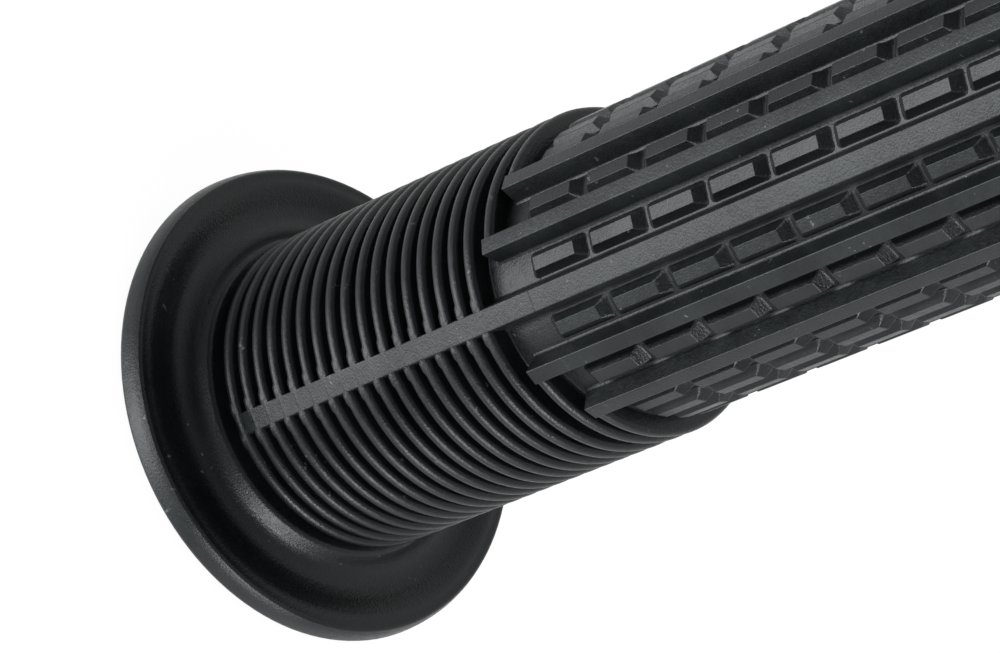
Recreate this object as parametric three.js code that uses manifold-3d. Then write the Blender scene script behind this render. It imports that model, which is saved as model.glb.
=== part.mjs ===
// Handlebar grip: one moulded rubber sleeve that slides over the end of a bar.
// Millimetres, +Z up. The grip stands on the back of its flange, and its bore
// runs along the Z axis, so the origin is the centre of the flange's back face.

import * as THREE from 'three';
import { mergeVertices } from 'three/addons/utils/BufferGeometryUtils.js';
import Module from 'manifold-3d';

// Sleeve and bore
const gripLength = 143;
const boreRadius = 11;
const sleeveRadius = 14.25;
// share of the outside radius that is lost with each millimetre of height
const narrowing = 0.00035;

// Flange
const flangeRadius = 25.5;
const rimThickness = 2.9;
const rimRounding = 1;
const rimLipWidth = 1.2;
const lipGrooveDepth = 0.25;
const dishThickness = 1.85;
const dishRadius = 20.2;
const shoulderRadius = 17.2;
const shoulderHeight = 4.3;
const shoulderSweep = 1.5;

// Fins, each a ring round the sleeve
const crestRadius = 17.05;
const crestWidth = 1;
const finFootWidth = 1.5;
const finPitch = 2.3;
const finCount = 17;
const firstGrooveWidth = 1.8;

// Two more rings that step the fins back from the tread
const stepGap = 3;
const stepPitch = 2.3;

// Bars of the tread, and the two wider spines that also cross the fins
const stepsPerTurn = 32;
const nearBarStep = 2;
const farBarStep = 4;
const barTopWidth = 1.63;
const spineTopWidth = 2.24;
const barDraft = 0.15;

// Tread blocks, whose walls run out to a wider and longer foot
const treadFloorRadius = 14.85;
const treadGap = 0.45;
const blockTopRadius = 15.78;
const blockTopWidth = 1.35;
const blockTopLength = 5.5;
const blockSideFlare = 0.55;
const blockEndFlare = 1.08;
const blockPitch = 8;

// Collar at the outer end
const endGap = 0.4;
const collarWidth = 4.5;
const collarRounding = 1;

// How finely the round surfaces are divided
const flangeFacets = 40;
const finFacets = 32;
const collarFacets = 32;
const arcDivisions = 2;
const dishDivisions = 3;

// How far a solid reaches into its neighbour, or past a face that it cuts
const sunk = 0.4;
const overcut = 5;

// Points of one geometry that lie closer than this are one point
const sameDistance = 1e-5;

// Heights of the fins and of the tread, worked out from the sizes above
const firstFinHeight = shoulderHeight + firstGrooveWidth + finFootWidth / 2;
const lastFinHeight = firstFinHeight + (finCount - 1) * finPitch;
const firstStepHeight = lastFinHeight + stepGap;
const secondStepHeight = firstStepHeight + stepPitch;
const treadStart = secondStepHeight + finFootWidth / 2 + treadGap;
const collarStart = gripLength - collarWidth;
const blockFootLength = blockTopLength + 2 * blockEndFlare;
const blockRoom = collarStart - endGap - treadStart - blockFootLength;
const blockCount = Math.floor(blockRoom / blockPitch) + 1;
const stepAngle = (2 * Math.PI) / stepsPerTurn;

const wasm = await Module();
wasm.setup();

// A closed three.js geometry as a solid that can be joined and cut
function solidFrom(geometry) {
  const bare = geometry.clone();
  bare.deleteAttribute('normal');
  bare.deleteAttribute('uv');
  const merged = mergeVertices(bare, sameDistance);
  const vertProperties = new Float32Array(merged.getAttribute('position').array);
  const triVerts = new Uint32Array(merged.getIndex().array);
  return new wasm.Manifold(new wasm.Mesh({ numProp: 3, vertProperties, triVerts }));
}

// A solid as a three.js geometry
function geometryFrom(solid) {
  const { vertProperties, triVerts } = solid.getMesh();
  const geometry = new THREE.BufferGeometry();
  geometry.setAttribute('position', new THREE.BufferAttribute(vertProperties, 3));
  geometry.setIndex(new THREE.BufferAttribute(triVerts, 1));
  return geometry;
}

// A solid turned about the Z axis from [radius, height] points. One facet
// faces -Y, so what stands at a whole step of the pattern meets a flat one.
function turned(points, facets) {
  const outline = points.map(([radius, height]) => new THREE.Vector2(radius, height));
  const lathe = new THREE.LatheGeometry(outline, facets, Math.PI / facets);
  return solidFrom(lathe.rotateX(Math.PI / 2));
}

// The [radius, height] points along a path
function pathPoints(path, divisions) {
  return path.getPoints(divisions).map((point) => [point.x, point.y]);
}

// Flange: flat back, rounded rim with a low lip inside it, and a hollow dish
// that sweeps up to a shoulder
function flange() {
  const lipRadius = flangeRadius - rimRounding - rimLipWidth;
  const rim = new THREE.Path();
  rim.moveTo(flangeRadius - rimRounding, 0);
  rim.absarc(flangeRadius - rimRounding, rimRounding, rimRounding, -Math.PI / 2, 0);
  const rimTop = rimThickness - rimRounding;
  rim.absarc(flangeRadius - rimRounding, rimTop, rimRounding, 0, Math.PI / 2);
  const lipMiddle = flangeRadius - rimRounding - rimLipWidth / 2;
  const dish = new THREE.Path();
  dish.moveTo(lipMiddle, rimThickness - lipGrooveDepth);
  dish.lineTo(lipRadius, rimThickness - lipGrooveDepth / 2);
  dish.quadraticCurveTo((lipRadius + dishRadius) / 2, dishThickness, dishRadius, dishThickness);
  dish.quadraticCurveTo(
    shoulderRadius + shoulderSweep, dishThickness, shoulderRadius, shoulderHeight,
  );
  return turned([
    [0, 0],
    ...pathPoints(rim, arcDivisions),
    ...pathPoints(dish, dishDivisions),
    [sleeveRadius, shoulderHeight],
    [0, shoulderHeight],
  ], flangeFacets);
}

// The four corners of one fin's section, from its lower foot to its upper foot
function finCorners(height) {
  return [
    [sleeveRadius, height - finFootWidth / 2],
    [crestRadius, height - crestWidth / 2],
    [crestRadius, height + crestWidth / 2],
    [sleeveRadius, height + finFootWidth / 2],
  ];
}

// The sleeve under the fins, with its fins
function finSleeve() {
  const fins = [];
  for (let i = 0; i < finCount; i += 1) {
    fins.push(...finCorners(firstFinHeight + i * finPitch));
  }
  const top = lastFinHeight + finFootWidth / 2;
  return turned([
    [0, shoulderHeight - sunk],
    [sleeveRadius, shoulderHeight - sunk],
    ...fins,
    [0, top],
  ], finFacets);
}

// The sleeve under the tread, which is thicker than under the fins, with the
// middle of each of its flat facets at the floor radius
function treadSleeve() {
  const cornerRadius = treadFloorRadius / Math.cos(stepAngle / 2);
  return turned([
    [0, lastFinHeight],
    [cornerRadius, lastFinHeight],
    [cornerRadius, gripLength - sunk],
    [0, gripLength - sunk],
  ], stepsPerTurn);
}

// Collar with a rounded outer edge
function collar() {
  const edge = new THREE.Path();
  edge.moveTo(crestRadius, collarStart);
  edge.lineTo(crestRadius, gripLength - collarRounding);
  const edgeRadius = crestRadius - collarRounding;
  edge.absarc(edgeRadius, gripLength - collarRounding, collarRounding, 0, Math.PI / 2);
  return turned([
    [0, collarStart],
    ...pathPoints(edge, arcDivisions),
    [0, gripLength],
  ], collarFacets);
}

// A wedge about the Z axis, facing -Y, that reaches the given number of steps
// to each side
function wedge(steps, bottom, top) {
  const reach = crestRadius + overcut;
  const halfAngle = steps * stepAngle;
  const shape = new THREE.Shape();
  shape.moveTo(0, 0);
  shape.absarc(0, 0, reach, -Math.PI / 2 - halfAngle, -Math.PI / 2 + halfAngle);
  shape.lineTo(0, 0);
  const options = { depth: top - bottom, bevelEnabled: false, curveSegments: steps };
  return solidFrom(new THREE.ExtrudeGeometry(shape, options).translate(0, 0, bottom));
}

// A fin that is left open round each spine, out to the given bars
function stepRing(height, openSteps) {
  const inner = sleeveRadius - sunk;
  const ring = turned([
    [inner, height - finFootWidth / 2],
    ...finCorners(height),
    [inner, height + finFootWidth / 2],
    [inner, height - finFootWidth / 2],
  ], stepsPerTurn);
  const open = wedge(openSteps, height - finPitch, height + finPitch);
  return ring.subtract(open).subtract(open.rotate([0, 0, 180]));
}

// A straight bar facing -Y with drafted walls, from the given height into the
// collar
function bar(topWidth, bottom) {
  const inner = sleeveRadius - sunk;
  const halfTop = topWidth / 2;
  const halfFoot = halfTop + barDraft * (crestRadius - inner);
  const shape = new THREE.Shape();
  shape.moveTo(-halfFoot, -inner);
  shape.lineTo(-halfTop, -crestRadius);
  shape.lineTo(halfTop, -crestRadius);
  shape.lineTo(halfFoot, -inner);
  shape.closePath();
  const options = { depth: collarStart + sunk - bottom, bevelEnabled: false };
  const geometry = new THREE.ExtrudeGeometry(shape, options).translate(0, 0, bottom);
  return solidFrom(geometry);
}

// One tread block facing -Y: a box whose outer face is drawn in on all sides,
// with its walls run on below the floor
function block(bottom) {
  const height = blockTopRadius - treadFloorRadius;
  const depth = height + sunk;
  const width = blockTopWidth + (2 * blockSideFlare * depth) / height;
  const length = blockTopLength + (2 * blockEndFlare * depth) / height;
  const geometry = new THREE.BoxGeometry(width, depth, length);
  const position = geometry.getAttribute('position');
  for (let i = 0; i < position.count; i += 1) {
    if (position.getY(i) < 0) {
      position.setX(i, (position.getX(i) * blockTopWidth) / width);
      position.setZ(i, (position.getZ(i) * blockTopLength) / length);
    }
  }
  geometry.translate(0, depth / 2 - blockTopRadius, bottom + blockFootLength / 2);
  return solidFrom(geometry);
}

// One row of blocks along the tread
function blockRow() {
  let row = block(treadStart);
  for (let i = 1; i < blockCount; i += 1) {
    row = row.add(block(treadStart + i * blockPitch));
  }
  return row;
}

// What stands at each step of a half turn, counted from the spine: two bars on
// each side of the spine, and a row of blocks everywhere else
function treadPiece(step, spine, nearBar, farBar, row) {
  const fromSpine = Math.min(step, stepsPerTurn / 2 - step);
  if (fromSpine === 0) return spine;
  if (fromSpine === nearBarStep) return nearBar;
  if (fromSpine === farBarStep) return farBar;
  return row;
}

// Spines, bars and rows of blocks all round
function tread() {
  const spine = bar(spineTopWidth, firstFinHeight - crestWidth / 2);
  const nearBar = bar(barTopWidth, firstStepHeight - crestWidth / 2);
  const farBar = bar(barTopWidth, secondStepHeight - crestWidth / 2);
  const row = blockRow();
  let pieces = spine;
  for (let step = 1; step < stepsPerTurn; step += 1) {
    const piece = treadPiece(step % (stepsPerTurn / 2), spine, nearBar, farBar, row);
    pieces = pieces.add(piece.rotate([0, 0, (360 * step) / stepsPerTurn]));
  }
  return pieces;
}

// The outside narrows a little from the flange to the outer end
function narrowed(solid) {
  return solid.warp((point) => {
    const share = 1 - narrowing * point[2];
    point[0] *= share;
    point[1] *= share;
  });
}

// The bore, past both ends of the grip
function bore() {
  const geometry = new THREE.CylinderGeometry(
    boreRadius, boreRadius, gripLength + 2 * overcut, flangeFacets,
  );
  return solidFrom(geometry.rotateX(Math.PI / 2).translate(0, 0, gripLength / 2));
}

function grip() {
  const outside = flange()
    .add(finSleeve())
    .add(treadSleeve())
    .add(stepRing(firstStepHeight, nearBarStep))
    .add(stepRing(secondStepHeight, farBarStep))
    .add(collar())
    .add(tread());
  return narrowed(outside).subtract(bore());
}

const rubber = new THREE.MeshStandardMaterial({ color: 0x24272a, roughness: 0.75, metalness: 0 });
const gripMesh = new THREE.Mesh(geometryFrom(grip()), rubber);
gripMesh.name = 'grip';

const model = new THREE.Group();
model.add(gripMesh);

export default model;
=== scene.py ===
import math

import bmesh
import bpy
from mathutils import Matrix, Vector


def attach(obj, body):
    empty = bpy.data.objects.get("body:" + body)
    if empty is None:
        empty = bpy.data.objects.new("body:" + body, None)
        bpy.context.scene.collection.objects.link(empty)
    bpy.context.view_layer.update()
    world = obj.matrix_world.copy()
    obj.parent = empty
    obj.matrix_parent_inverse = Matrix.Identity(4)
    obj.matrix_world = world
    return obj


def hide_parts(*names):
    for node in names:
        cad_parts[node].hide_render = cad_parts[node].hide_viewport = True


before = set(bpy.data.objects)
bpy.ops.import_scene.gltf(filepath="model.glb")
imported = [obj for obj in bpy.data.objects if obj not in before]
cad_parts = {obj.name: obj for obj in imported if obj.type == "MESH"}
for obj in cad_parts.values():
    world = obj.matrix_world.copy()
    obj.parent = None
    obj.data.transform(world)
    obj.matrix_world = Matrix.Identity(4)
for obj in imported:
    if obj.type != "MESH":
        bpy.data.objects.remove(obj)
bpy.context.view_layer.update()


# The body of the grip: sleeve, flange, fins and end collar in one rubber
# moulding. All of it is round about the Z axis, so its section is drawn as a
# chain of edges, its corners are rounded, and it is spun. The bore is open.
mm = 0.001
grip_length = 143 * mm
bore_radius = 11 * mm
fin_floor_radius = 14.25 * mm
tread_floor_radius = 14.83 * mm
crest_radius = 17.05 * mm
# share of the outside radius that is lost with each metre of height
narrowing = 0.35
bore_mouth_rounding = 0.4 * mm

# radius, height and rounding of the flange's corners, from its back to the
# first groove: rim, lip groove, low ridge, hollow dish and shoulder
flange_corners = [
    (25.5, 0, 0.6),
    (25.5, 1, 0.35),
    (25.3, 2.3, 0.45),
    (24.9, 2.93, 0.25),
    (24.2, 2.8, 0.3),
    (23.5, 2.89, 0.3),
    (22.7, 2.64, 0.45),
    (20.9, 1.82, 0.75),
    (18.5, 1.82, 1.6),
    (17.25, 4.35, 0.35),
    (16.7, 4.4, 0.15),
    (14.25, 4.55, 0.3),
]
fin_pitch = 2.3 * mm
fin_count = 17
first_fin_height = 6.71 * mm
crest_width = 1.3 * mm
crest_rounding = 0.6 * mm
fin_foot_width = 1.6 * mm
foot_rounding = 0.3 * mm
collar_width = 4.5 * mm
collar_rounding = 1 * mm
edge_rounding = 0.2 * mm
# a rounded corner has one step for each such length of its rounding
rounding_step = 0.2 * mm
fewest_steps = 2
turn_steps = 128
# points closer than this are one point, and a selection reaches this much past
# a level that it is given
same_place = 0.001 * mm
margin = 0.01 * mm


def deselect_objects():
    bpy.ops.object.select_all(action="DESELECT")


def select_points(wanted):
    """Selects exactly the points of the mesh in edit mode whose place is wanted."""
    bpy.ops.mesh.select_all(action="DESELECT")
    drawn = bpy.context.edit_object.data
    mesh = bmesh.from_edit_mesh(drawn)
    for point in mesh.verts:
        point.select = bool(wanted(point.co))
    mesh.select_flush(True)
    bmesh.update_edit_mesh(drawn)


def near(place, radius, height):
    """True where a point of the section is at that radius and height."""
    return abs(place.x - radius) < same_place and abs(place.z - height) < same_place


def draw_section(name, corners):
    """Draws a closed chain of edges in the XZ plane, as a new object in edit mode.
    Each corner is a radius, a height and the length that its rounding takes."""
    deselect_objects()
    bpy.ops.mesh.primitive_plane_add(size=mm)
    bpy.context.object.name = name
    bpy.ops.object.mode_set(mode="EDIT")
    bpy.ops.mesh.merge(type="CENTER")
    here = Vector((0, 0, 0))
    for number, (radius, height, _) in enumerate(corners):
        there = Vector((radius, 0, height))
        step = {"value": there - here}
        if number == 0:
            bpy.ops.transform.translate(**step)
        else:
            bpy.ops.mesh.extrude_region_move(TRANSFORM_OT_translate=step)
        here = there
    ends = [corners[0], corners[-1]]
    select_points(lambda place: any(near(place, end[0], end[1]) for end in ends))
    bpy.ops.mesh.edge_face_add()
    for rounding in sorted({corner[2] for corner in corners if corner[2] > 0}):
        alike = [corner for corner in corners if corner[2] == rounding]
        select_points(lambda place: any(near(place, corner[0], corner[1]) for corner in alike))
        steps = max(fewest_steps, round(rounding / rounding_step))
        bpy.ops.mesh.bevel(
            offset=rounding, offset_type="OFFSET", segments=steps, affect="VERTICES"
        )


def spin_section(name, corners):
    """Turns a closed section once round the Z axis, into a closed solid."""
    draw_section(name, corners)
    bpy.ops.mesh.select_all(action="SELECT")
    bpy.ops.mesh.spin(
        steps=turn_steps, angle=2 * math.pi, center=(0, 0, 0), axis=(0, 0, 1)
    )
    bpy.ops.mesh.select_all(action="SELECT")
    bpy.ops.mesh.remove_doubles(threshold=same_place / 2)
    bpy.ops.mesh.normals_make_consistent(inside=False)


def fin_corners(height, upper_floor_radius):
    """The four corners of a fin round a height, from its lower to its upper foot."""
    return [
        (fin_floor_radius, height - fin_foot_width / 2, foot_rounding),
        (crest_radius, height - crest_width / 2, crest_rounding),
        (crest_radius, height + crest_width / 2, crest_rounding),
        (upper_floor_radius, height + fin_foot_width / 2, foot_rounding),
    ]


# the bore is drawn wider at the top, and the narrowing makes it straight
bore_top_radius = bore_radius / (1 - narrowing * grip_length)
body_corners = [(bore_radius, 0, bore_mouth_rounding)]
for radius, height, rounding in flange_corners:
    body_corners.append((radius * mm, height * mm, rounding * mm))
last_fin_height = first_fin_height + (fin_count - 1) * fin_pitch
for number in range(fin_count - 1):
    body_corners += fin_corners(first_fin_height + number * fin_pitch, fin_floor_radius)
body_corners += fin_corners(last_fin_height, tread_floor_radius)
body_corners += [
    (tread_floor_radius, grip_length - collar_width, foot_rounding),
    (crest_radius, grip_length - collar_width, edge_rounding),
    (crest_radius, grip_length, collar_rounding),
    (bore_top_radius, grip_length, bore_mouth_rounding),
]
spin_section("moulded_grip", body_corners)
bpy.ops.object.mode_set(mode="OBJECT")
grip = bpy.context.object


# Two more rings above the fins, which step them back from the tread. Each is
# left open round both spines: the first out to the near bars, the second out
# to the far bars. A whole ring is spun and then cut by two planes.
first_ring_gap = 3 * mm
first_ring_height = last_fin_height + first_ring_gap
second_ring_height = first_ring_height + fin_pitch
near_bar_angle = math.radians(23.5)
far_bar_angle = math.radians(45)
# rings, bars and blocks reach in to this radius, inside the sleeve
sunk_radius = 13.85 * mm
ring_foot_flare = 0.14 * mm
ring_foot_rise = 0.22 * mm
ring_foot_rounding = 0.12 * mm


def add_ring_arc(height, half_open):
    """The two arcs of a ring that stay clear of both spines by an angle."""
    lower = height - fin_foot_width / 2
    upper = height + fin_foot_width / 2
    spin_section("ring_arc", [
        (sunk_radius, lower - ring_foot_flare, 0),
        (tread_floor_radius, lower - ring_foot_flare, 0),
        (tread_floor_radius + ring_foot_rise, lower, ring_foot_rounding),
        (crest_radius, height - crest_width / 2, crest_rounding),
        (crest_radius, height + crest_width / 2, crest_rounding),
        (tread_floor_radius + ring_foot_rise, upper, ring_foot_rounding),
        (tread_floor_radius, upper + ring_foot_flare, 0),
        (sunk_radius, upper + ring_foot_flare, 0),
    ])
    for side in (-1, 1):
        bpy.ops.mesh.select_all(action="SELECT")
        bpy.ops.mesh.bisect(
            plane_co=(0, 0, 0),
            plane_no=(math.cos(half_open), side * math.sin(half_open), 0),
            use_fill=True, clear_inner=True,
        )
    bpy.ops.mesh.select_all(action="SELECT")
    bpy.ops.mesh.duplicate()
    bpy.ops.transform.rotate(value=math.pi, orient_axis="Z", center_override=(0, 0, 0))
    bpy.ops.object.mode_set(mode="OBJECT")
    return bpy.context.object


first_ring = add_ring_arc(first_ring_height, near_bar_angle)
second_ring = add_ring_arc(second_ring_height, far_bar_angle)


# The two spines and the eight tread bars: straight ribs moulded along the
# sleeve, with drafted walls, small fillets at their feet and softly rounded top
# edges. The spines dip a little at the fins, and slope down at the flange.
spine_top_width = 2.24 * mm
bar_top_width = 1.63 * mm
wall_draft = 0.15
bar_edge_rounding = 0.12 * mm
# the fillet along a bar's foot: how far each step of it is above the floor, and
# how far all from there down is moved out
bar_fillet = [(0.3 * mm, 0), (0.105 * mm, 0.08 * mm), (0, 0.16 * mm)]
# the points of a bar's top lie less than this under the crests
bar_top_depth = 1 * mm
collar_overlap = 0.4 * mm
tread_end = grip_length - collar_width + collar_overlap
spine_dip_end = 43 * mm
spine_dip = 0.085 * mm
spine_slope_length = 2.4 * mm
spine_slope = 0.45 * mm


def copy_round(angles):
    """Turns what is selected, which lies at -Y, to the first of the angles round
    the Z axis, and copies it to the others."""
    turned = None
    for angle in angles:
        if turned is not None:
            bpy.ops.mesh.duplicate()
        turn = angle - (turned or 0)
        if turn:
            bpy.ops.transform.rotate(
                value=turn, orient_axis="Z", center_override=(0, 0, 0)
            )
        turned = angle


def four_angles(angle):
    """The angles of what lies at one angle from a spine, on both sides of both."""
    return [angle, math.pi - angle, math.pi + angle, 2 * math.pi - angle]


def add_bar(name, top_width, bottom, angles, dips):
    """Shapes a bar from a box at -Y, from its bottom up into the collar, and copies
    it to the angles. Each dip is a height and what the top loses from there down."""
    deselect_objects()
    bpy.ops.mesh.primitive_cube_add(size=1)
    bpy.context.object.name = name
    bpy.ops.object.mode_set(mode="EDIT")
    depth = crest_radius - sunk_radius
    bpy.ops.transform.resize(value=(top_width, depth, tread_end - bottom))
    middle = (0, -(crest_radius + sunk_radius) / 2, (bottom + tread_end) / 2)
    bpy.ops.transform.translate(value=middle)
    foot_share = 1 + 2 * wall_draft * depth / top_width
    select_points(lambda place: place.y > -sunk_radius - margin)
    bpy.ops.transform.resize(value=(foot_share, 1, 1), center_override=(0, 0, 0))
    for rise, spread in bar_fillet:
        level = -tread_floor_radius - rise
        bpy.ops.mesh.select_all(action="SELECT")
        bpy.ops.mesh.bisect(plane_co=(0, level, 0), plane_no=(0, 1, 0))
        for side in (-1, 1):
            select_points(lambda place: place.y > level - margin and place.x * side > 0)
            bpy.ops.transform.translate(value=(side * spread, 0, 0))
    top_level = -crest_radius + bar_top_depth
    for height, drop in dips:
        bpy.ops.mesh.select_all(action="SELECT")
        bpy.ops.mesh.bisect(plane_co=(0, 0, height), plane_no=(0, 0, 1))
        select_points(lambda place: place.y < top_level and place.z < height + margin)
        bpy.ops.transform.translate(value=(0, drop, 0))
    for side in (-1, 1):
        select_points(lambda place: place.y < top_level and place.x * side > 0)
        bpy.ops.mesh.bevel(offset=bar_edge_rounding, segments=2, affect="EDGES")
    bpy.ops.mesh.select_all(action="SELECT")
    bpy.ops.mesh.normals_make_consistent(inside=False)
    copy_round(angles)
    bpy.ops.object.mode_set(mode="OBJECT")
    return bpy.context.object


spine_bottom = first_fin_height - crest_width / 2
spine_dips = [
    (spine_dip_end, 0),
    (spine_bottom + spine_slope_length, spine_dip),
    (spine_bottom, spine_slope),
]
spines = add_bar("spines", spine_top_width, spine_bottom, [0, math.pi], spine_dips)
near_bars = add_bar(
    "near_bars", bar_top_width, first_ring_height - crest_width / 2,
    four_angles(near_bar_angle), [],
)
far_bars = add_bar(
    "far_bars", bar_top_width, second_ring_height - crest_width / 2,
    four_angles(far_bar_angle), [],
)


# The swollen ends of the fins beside each spine, where two parts of the mould
# meet: one long uneven drop of rubber, a little nearer to the flange than its
# fin's middle, copied along the spine and to its other side.
swelling_radius = 0.71 * mm
swelling_length = 3.2 * mm
swelling_place = 1.45 * mm
swelling_depth = 0.7 * mm
swelling_shift = 0.18 * mm
swelling_roughness = 0.11 * mm
deselect_objects()
bpy.ops.mesh.primitive_uv_sphere_add(segments=10, ring_count=7, radius=swelling_radius)
bpy.context.object.name = "fin_swellings"
bpy.ops.object.mode_set(mode="EDIT")
bpy.ops.transform.vertex_random(offset=swelling_roughness, seed=3)
bpy.ops.transform.resize(value=(swelling_length / (2 * swelling_radius), 1, 1))
bpy.ops.transform.translate(value=(
    swelling_place, swelling_depth - crest_radius, first_fin_height - swelling_shift
))
for number in range(fin_count - 1):
    bpy.ops.mesh.duplicate()
    bpy.ops.transform.translate(value=(0, 0, fin_pitch))
bpy.ops.mesh.select_all(action="SELECT")
bpy.ops.mesh.duplicate()
bpy.ops.transform.translate(value=(-2 * swelling_place, 0, 0))
bpy.ops.mesh.select_all(action="SELECT")
copy_round([0, math.pi])
bpy.ops.object.mode_set(mode="OBJECT")
swellings = bpy.context.object


# The tread blocks, moulded in rows between the bars: low blocks with crisp tops,
# whose sloping walls run out to a larger, rounded foot. One is shaped from a
# flat plate at -Y, copied along its row, and the row is copied round the sleeve.
block_top_radius = 15.78 * mm
block_top_width = 1.35 * mm
block_top_length = 5.5 * mm
block_side_flare = 0.53 * mm
block_end_flare = 1.05 * mm
# the foot's fillet ends at this share of the wall's height
block_fillet_share = 0.1
block_foot_fillet = 0.07 * mm
block_foot_corner = 0.5 * mm
# share of the foot's rounded corners that is left at the top
block_top_corner_share = 0.3
block_edge_rounding = 0.06 * mm
block_pitch = 8 * mm
block_count = 11
first_block_middle = 53.97 * mm
row_angles = [math.radians(angle) for angle in (12.2, 34.8, 57.15, 68.1, 79.05)]


def raise_face(radius, width, length):
    """Extrudes the selected face of a block out to the radius, and draws it in
    to the given width and length."""
    mesh = bmesh.from_edit_mesh(bpy.context.edit_object.data)
    points = [point.co.copy() for point in mesh.verts if point.select]
    wide = max(p.x for p in points) - min(p.x for p in points)
    long = max(p.z for p in points) - min(p.z for p in points)
    bpy.ops.mesh.extrude_region_move(
        TRANSFORM_OT_translate={"value": (0, -radius - points[0].y, 0)}
    )
    bpy.ops.transform.resize(
        value=(width / wide, 1, length / long),
        center_override=(0, 0, first_block_middle),
    )


foot_width = block_top_width + 2 * (block_side_flare + block_foot_fillet)
foot_length = block_top_length + 2 * (block_end_flare + block_foot_fillet)
wall_share = 1 - block_fillet_share
deselect_objects()
bpy.ops.mesh.primitive_plane_add(size=1, rotation=(math.pi / 2, 0, 0))
bpy.ops.object.transform_apply(rotation=True)
bpy.context.object.name = "tread_blocks"
bpy.ops.object.mode_set(mode="EDIT")
bpy.ops.transform.resize(value=(foot_width, 1, foot_length))
bpy.ops.transform.translate(value=(0, -sunk_radius, first_block_middle))
bpy.ops.mesh.bevel(offset=block_foot_corner, segments=2, affect="VERTICES")
bpy.ops.mesh.select_all(action="SELECT")
raise_face(tread_floor_radius, foot_width, foot_length)
raise_face(
    tread_floor_radius + block_fillet_share * (block_top_radius - tread_floor_radius),
    block_top_width + 2 * wall_share * block_side_flare,
    block_top_length + 2 * wall_share * block_end_flare,
)
raise_face(block_top_radius, block_top_width, block_top_length)
# the corners get sharper towards the top
for across in (-1, 1):
    for along in (-1, 1):
        corner = Vector((
            across * block_top_width / 2, -block_top_radius,
            first_block_middle + along * block_top_length / 2,
        ))
        select_points(lambda place: (place - corner).length < block_foot_corner)
        bpy.ops.transform.resize(
            value=(block_top_corner_share, 1, block_top_corner_share),
            center_override=corner,
        )
select_points(lambda place: place.y < -block_top_radius + margin)
bpy.ops.mesh.bevel(offset=block_edge_rounding, segments=1, affect="EDGES")
bpy.ops.mesh.select_all(action="SELECT")
bpy.ops.mesh.normals_make_consistent(inside=False)
for number in range(block_count - 1):
    bpy.ops.mesh.duplicate()
    bpy.ops.transform.translate(value=(0, 0, block_pitch))
bpy.ops.mesh.select_all(action="SELECT")
all_rows = [math.pi / 2, 3 * math.pi / 2]
for angle in row_angles:
    all_rows += four_angles(angle)
copy_round(all_rows)
bpy.ops.object.mode_set(mode="OBJECT")
blocks = bpy.context.object


# The whole moulding: rings, bars, blocks and swellings are joined to the body
# into one closed solid, which is narrowed a little towards its outer end.
sharp_edge_angle = math.radians(42)
deselect_objects()
bpy.context.view_layer.objects.active = grip
for added in (swellings, spines, near_bars, far_bars, first_ring, second_ring, blocks):
    joint = grip.modifiers.new("join_" + added.name, "BOOLEAN")
    joint.operation = "UNION"
    joint.solver = "MANIFOLD"
    joint.object = added
    bpy.ops.object.modifier_apply(modifier=joint.name)
    bpy.data.objects.remove(added)
taper = grip.modifiers.new("narrowing", "SIMPLE_DEFORM")
taper.deform_method = "TAPER"
taper.deform_axis = "Z"
taper.factor = -narrowing * grip_length
bpy.ops.object.modifier_apply(modifier=taper.name)
grip.select_set(True)
bpy.ops.object.shade_smooth_by_angle(angle=sharp_edge_angle)
grip.select_set(False)
# the large faces keep their own direction, so that only the roundings between
# them are shaded smooth
weights = grip.modifiers.new("weighted_normals", "WEIGHTED_NORMAL")
weights.keep_sharp = True
bpy.ops.object.modifier_apply(modifier=weights.name)


# The rubber: near black and matt, with the fine grain of the mould, cloudy
# patches of more and less sheen, a few pale specks of dust, and the thin line
# that the mould's two parts leave across the tread.
darkest_rubber = (0.0030, 0.0039, 0.0043, 1)
lightest_rubber = (0.0055, 0.0068, 0.0072, 1)
dust_colour = (0.16, 0.18, 0.18, 1)
dust_share = 0.3
# roughness in the cloudy patches, and what the mottling adds to it
cloud_roughness = (0.34, 0.41)
mottle_roughness = (-0.05, 0.05)
# heights in the grain's relief, as multiples of its depth
mottle_height = 0.4
grain_height = 1.8
relief_depth = 0.03 * mm
seam_height = 50.75 * mm
seam_half_width = 0.07 * mm
rubber = bpy.data.materials.new("grip_rubber")
rubber.use_nodes = True
nodes = rubber.node_tree.nodes
links = rubber.node_tree.links
shader = nodes["Principled BSDF"]
shader.inputs["IOR"].default_value = 1.35
shader.inputs["Specular Tint"].default_value = (0.94, 0.975, 1, 1)
place = nodes.new("ShaderNodeTexCoord")


def add_noise(scale, detail):
    """Noise on the grip's own coordinates, with features of 1 / scale metres."""
    noise = nodes.new("ShaderNodeTexNoise")
    noise.inputs["Scale"].default_value = scale
    noise.inputs["Detail"].default_value = detail
    links.new(place.outputs["Object"], noise.inputs["Vector"])
    return noise.outputs["Fac"]


def add_range(value, source, target):
    """The value, mapped from the source range to the target and kept inside it."""
    mapped = nodes.new("ShaderNodeMapRange")
    names = ("From Min", "From Max", "To Min", "To Max")
    for name, limit in zip(names, source + target):
        mapped.inputs[name].default_value = limit
    links.new(value, mapped.inputs["Value"])
    return mapped.outputs["Result"]


def add_math(operation, first, second):
    """Two values joined by one operation, where the second may be a number."""
    joint = nodes.new("ShaderNodeMath")
    joint.operation = operation
    links.new(first, joint.inputs[0])
    if isinstance(second, (int, float)):
        joint.inputs[1].default_value = second
    else:
        links.new(second, joint.inputs[1])
    return joint.outputs["Value"]


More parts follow.
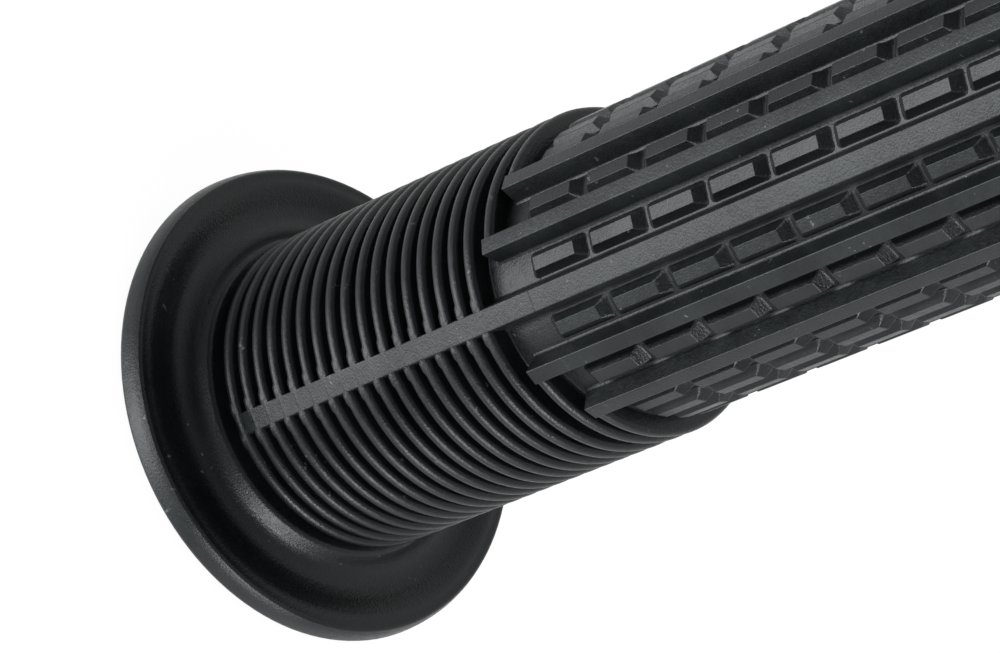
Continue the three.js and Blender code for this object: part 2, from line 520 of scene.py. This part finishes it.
def add_colour_mix(share, first, second):
    """A colour between the first, which is fixed or linked, and the second."""
    mix = nodes.new("ShaderNodeMix")
    mix.data_type = "RGBA"
    links.new(share, mix.inputs["Factor"])
    if isinstance(first, tuple):
        mix.inputs[6].default_value = first
    else:
        links.new(first, mix.inputs[6])
    mix.inputs[7].default_value = second
    return mix.outputs[2]


clouds = add_noise(scale=170, detail=4)
mottle = add_noise(scale=1500, detail=3)
grain = add_noise(scale=4200, detail=3)
# specks of dust: the few peaks of a noise, in some of the cloudy patches
specks = add_range(add_noise(scale=1150, detail=2), (0.7, 0.76), (0, 1))
dust = add_math("MULTIPLY", specks, add_range(clouds, (0.48, 0.56), (0, 1)))
tint = add_colour_mix(
    add_range(clouds, (0.35, 0.65), (0, 1)), darkest_rubber, lightest_rubber
)
tint = add_colour_mix(add_math("MULTIPLY", dust, dust_share), tint, dust_colour)
links.new(tint, shader.inputs["Base Color"])
roughness = add_math(
    "ADD",
    add_range(clouds, (0.3, 0.7), cloud_roughness),
    add_range(mottle, (0.3, 0.7), mottle_roughness),
)
links.new(roughness, shader.inputs["Roughness"])

split_place = nodes.new("ShaderNodeSeparateXYZ")
links.new(place.outputs["Object"], split_place.inputs["Vector"])
above_seam = add_math("SUBTRACT", split_place.outputs["Z"], seam_height)
from_seam = add_math("ABSOLUTE", above_seam, 0)
seam = add_range(from_seam, (0, seam_half_width), (-1, 0))
relief = add_math(
    "ADD",
    add_math("MULTIPLY", mottle, mottle_height),
    add_math("MULTIPLY", grain, grain_height),
)
relief = add_math("ADD", relief, seam)
relief = add_math("ADD", relief, dust)
bump = nodes.new("ShaderNodeBump")
bump.inputs["Strength"].default_value = 0.8
bump.inputs["Distance"].default_value = relief_depth
links.new(relief, bump.inputs["Height"])
links.new(bump.outputs["Normal"], shader.inputs["Normal"])
grip.data.materials.clear()
grip.data.materials.append(rubber)

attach(grip, "root")
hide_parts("grip")


# The floor that the grip stands on: a pale plain sheet. What the camera and the
# rubber's gloss see of it is close to white, and it keeps the grip's soft shadow.
floor_width = 6
floor_brightness = 1.1
# how much of what is seen of the floor is that brightness, and not its shading
brightness_share = 0.85
deselect_objects()
bpy.ops.mesh.primitive_plane_add(size=floor_width)
floor = bpy.context.object
floor.name = "studio_floor"
pale = bpy.data.materials.new("pale_floor")
pale.use_nodes = True
nodes = pale.node_tree.nodes
links = pale.node_tree.links
sheet = nodes["Principled BSDF"]
sheet.inputs["Base Color"].default_value = (0.8, 0.8, 0.8, 1)
sheet.inputs["Roughness"].default_value = 0.9
sheet.inputs["Specular IOR Level"].default_value = 0
white = nodes.new("ShaderNodeEmission")
white.inputs["Strength"].default_value = floor_brightness
path = nodes.new("ShaderNodeLightPath")
seen = add_math("MAXIMUM", path.outputs["Is Camera Ray"], path.outputs["Is Glossy Ray"])
seen = add_math("MAXIMUM", seen, path.outputs["Is Transmission Ray"])
surface = nodes.new("ShaderNodeMixShader")
links.new(add_math("MULTIPLY", seen, brightness_share), surface.inputs["Fac"])
links.new(sheet.outputs["BSDF"], surface.inputs[1])
links.new(white.outputs["Emission"], surface.inputs[2])
links.new(surface.outputs["Shader"], nodes["Material Output"].inputs["Surface"])
floor.data.materials.append(pale)
# the key lamp stands lower than the floor, and shines through it
floor.visible_shadow = False


# The light: a tall soft lamp low at the front, a second one at the side, and a
# room that is white round the horizon and behind the grip, and dim in front.
lamp_aim = Vector((0, 0, 40 * mm))
room_brightness = 1
dim_brightness = 0.1
# how far up the white of the horizon goes, and where it has become dim
horizon_band = (0.12, 0.3)
# the same for the white behind the grip, and how far that white slants upward
back_band = (0, 0.8)
back_slant = 0.6


def add_soft_lamp(name, azimuth, elevation, distance, size, power):
    """A lamp of the given width and height that faces the lower half of the grip.
    Azimuth 0 is at -Y and 90 is at +X."""
    turn = math.radians(azimuth)
    rise = math.radians(elevation)
    away = Vector((
        math.sin(turn) * math.cos(rise), -math.cos(turn) * math.cos(rise), math.sin(rise)
    ))
    deselect_objects()
    bpy.ops.object.light_add(type="AREA", location=away * distance + lamp_aim)
    lamp = bpy.context.object
    lamp.name = name
    lamp.data.shape = "RECTANGLE"
    lamp.data.size, lamp.data.size_y = size
    lamp.data.energy = power
    lamp.rotation_euler = away.to_track_quat("Z", "Y").to_euler()


add_soft_lamp(
    "key_lamp", azimuth=-18, elevation=-27, distance=0.95, size=(0.28, 0.78), power=19
)
add_soft_lamp(
    "side_lamp", azimuth=58, elevation=6, distance=0.9, size=(0.5, 0.36), power=10
)
room = bpy.data.worlds.new("room")
bpy.context.scene.world = room
room.use_nodes = True
nodes = room.node_tree.nodes
links = room.node_tree.links
direction = nodes.new("ShaderNodeTexCoord")
split = nodes.new("ShaderNodeSeparateXYZ")
links.new(direction.outputs["Generated"], split.inputs["Vector"])
up = split.outputs["Z"]
round_horizon = add_range(up, horizon_band, (room_brightness, dim_brightness))
back = add_math("ADD", add_math("MULTIPLY", up, back_slant), split.outputs["Y"])
behind = add_range(back, back_band, (dim_brightness, room_brightness))
brightness = add_math("MAXIMUM", round_horizon, behind)
links.new(brightness, nodes["Background"].inputs["Strength"])
nodes["Background"].inputs["Color"].default_value = (1, 1, 1, 1)


# The camera, at the photograph's viewing angle: in front of the grip and above
# it, and rolled, so that the grip runs down across the picture.
camera_azimuth = math.radians(3.489)
camera_elevation = math.radians(43.991)
camera_roll = math.radians(67.033)
camera_distance = 447.377 * mm
camera_aim = Vector((0.1325, -1.8128, 31.3174)) * mm
camera_lens = 161.415
camera_sensor_width = 36
nearest_seen = 10 * mm
away = Vector((
    math.sin(camera_azimuth) * math.cos(camera_elevation),
    -math.cos(camera_azimuth) * math.cos(camera_elevation),
    math.sin(camera_elevation),
))
deselect_objects()
bpy.ops.object.camera_add(location=camera_aim + away * camera_distance)
camera = bpy.context.object
camera.name = "photo_camera"
camera.data.lens = camera_lens
camera.data.sensor_width = camera_sensor_width
camera.data.clip_start = nearest_seen
side = Vector((math.cos(camera_azimuth), math.sin(camera_azimuth), 0))
up = away.cross(side)
right = side * math.cos(camera_roll) + up * math.sin(camera_roll)
top = up * math.cos(camera_roll) - side * math.sin(camera_roll)
camera.rotation_euler = Matrix((right, top, away)).transposed().to_euler()
bpy.context.scene.camera = camera
bpy.context.scene.view_settings.view_transform = "Standard"
